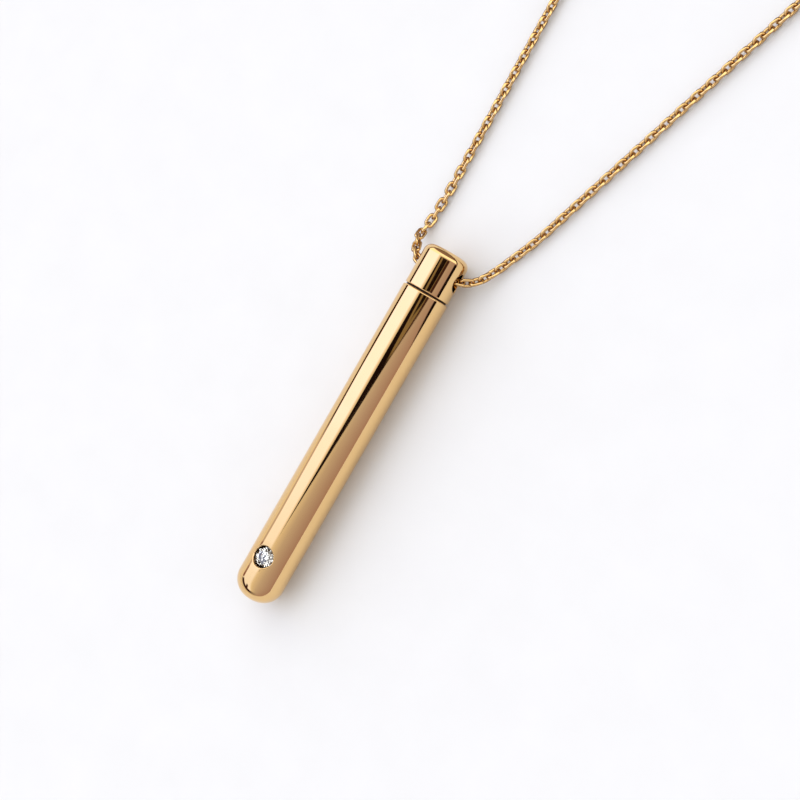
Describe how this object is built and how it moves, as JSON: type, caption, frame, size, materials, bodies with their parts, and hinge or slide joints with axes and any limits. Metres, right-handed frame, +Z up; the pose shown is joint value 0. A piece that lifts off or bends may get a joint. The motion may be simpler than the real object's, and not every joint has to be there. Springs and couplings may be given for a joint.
{
  "type": "keepsake urn pendant necklace",
  "caption": "Slim polished gold-coloured bar urn pendant with a screw cap and a flush-set clear stone, on a fine cable chain with a ring clasp, lying flat.",
  "frame": {"origin": "Middle of the necklace's footprint, on the surface that it lies on.", "axes": "+Z is up from the surface. +Y runs along the pendant from its closed tip to its cap, and on to the clasp. +X is to the right, seen from above with the cap away from the viewer."},
  "size_m": [0.0682, 0.2377, 0.005],
  "materials": {
    "gold": "mirror-polished gold plating",
    "seal": "dark smooth rubber",
    "stone": "clear, cut and polished"
  },
  "bodies": {
    "necklace": {"cap": "gold", "chain": "gold", "clasp": "gold", "end_ring": "gold"},
    "seal": {"seal_ring": "seal"},
    "urn": {"tube": "gold", "stone": "stone"}
  },
  "joints": [
    {"name": "urn_unscrews", "type": "hinge", "parent": "necklace", "child": "seal", "pos_m": [-0.0264, -0.08365, 0.0025], "axis": [0, -1, 0], "range_deg": [0, 2520]},
    {"name": "urn_draws_off", "type": "slide", "parent": "seal", "child": "urn", "axis": [0, -1, 0], "range_m": [0, 0.0035]}
  ],
  "couplings": [
    {"joint": "urn_unscrews", "follows": "urn_draws_off", "rad_per_m": 12566}
  ]
}
